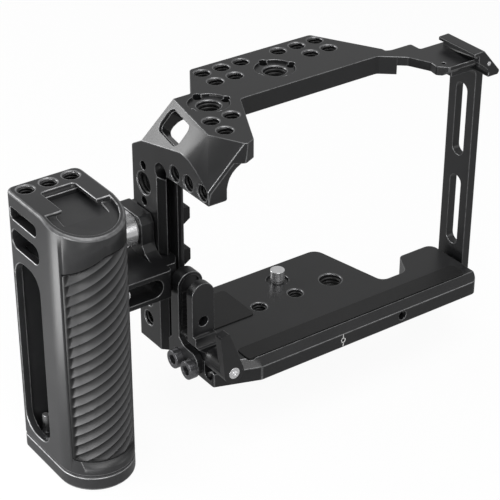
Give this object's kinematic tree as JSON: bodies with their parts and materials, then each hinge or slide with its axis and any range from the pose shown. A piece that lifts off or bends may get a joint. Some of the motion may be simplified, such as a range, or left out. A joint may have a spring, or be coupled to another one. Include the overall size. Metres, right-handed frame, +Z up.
{
  "type": "camera cage",
  "caption": "Camera cage with a threaded top plate, base plate, cable clamp and a side handle that slides on a dovetail rail and is held by a knob.",
  "frame": {"origin": "mouth of the tripod thread in the underside of the base plate", "axes": "+X to the right seen from behind the camera, +Y forward to the lens, +Z up"},
  "size_m": [0.2088, 0.0724, 0.1378],
  "materials": {
    "black_anodised": "satin black anodised",
    "black_rubber": "matt moulded",
    "bright_steel": "bright turned"
  },
  "bodies": {
    "cage": {"cage_frame": "black_anodised", "side_lugs": "black_rubber", "base_plate": "black_anodised", "frame_screws": "bright_steel", "base_pads": "black_rubber", "right_arm": "black_anodised", "arm_screws": "bright_steel", "cable_bracket": "black_anodised", "bracket_screws": "bright_steel", "fixed_pad": "black_rubber", "rail_pin": "bright_steel"},
    "handle": {"clamp_arm": "black_anodised", "arm_bolts": "bright_steel", "handle_body": "black_anodised", "handle_grip": "black_rubber", "handle_cap": "black_anodised", "cap_screws": "bright_steel"},
    "knob": {"clamp_knob": "bright_steel", "knob_grub": "bright_steel", "thrust_washer": "bright_steel"},
    "jaw": {"moving_jaw": "black_anodised", "draw_screw": "bright_steel"},
    "lever": {"cable_lever": "black_anodised", "lever_screw": "bright_steel", "clamp_shaft": "bright_steel", "shaft_clip": "bright_steel"},
    "finger": {"cable_finger": "black_anodised", "slider_pad": "black_rubber"},
    "camera_screw": {"camera_screw": "bright_steel", "screw_clip": "black_anodised"},
    "screw_ring": {"screw_ring": "bright_steel"}
  },
  "joints": [
    {"name": "handle_slide", "type": "slide", "parent": "cage", "child": "handle", "axis": [0, 0, 1], "range_m": [-0.018, 0]},
    {"name": "clamp_knob_turn", "type": "hinge", "parent": "handle", "child": "knob", "pos_m": [-0.079, 0.0187, 0.0561], "axis": [1, 0, 0], "range_deg": [0, 360]},
    {"name": "jaw_slide", "type": "slide", "parent": "handle", "child": "jaw", "axis": [1, 0, 0], "range_m": [0, 0.0014]},
    {"name": "cable_lever_turn", "type": "hinge", "parent": "cage", "child": "lever", "pos_m": [-0.0584, -0.03, 0.0124], "axis": [0, -1, 0], "range_deg": [-360, 810]},
    {"name": "cable_finger_slide", "type": "slide", "parent": "cage", "child": "finger", "axis": [0, 1, 0], "range_m": [-0.002, 0.0045]},
    {"name": "camera_screw_turn", "type": "hinge", "parent": "cage", "child": "camera_screw", "pos_m": [0, 0.013, 0.005], "axis": [0, 0, 1], "continuous": true},
    {"name": "screw_ring_fold", "type": "hinge", "parent": "camera_screw", "child": "screw_ring", "pos_m": [0, 0.013, 0.0019], "axis": [1, 0, 0], "range_deg": [0, 100]}
  ],
  "couplings": [
    {"joint": "jaw_slide", "follows": "clamp_knob_turn", "m_per_rad": 0.00022281},
    {"joint": "cable_finger_slide", "follows": "cable_lever_turn", "m_per_rad": 0.0003183}
  ]
}
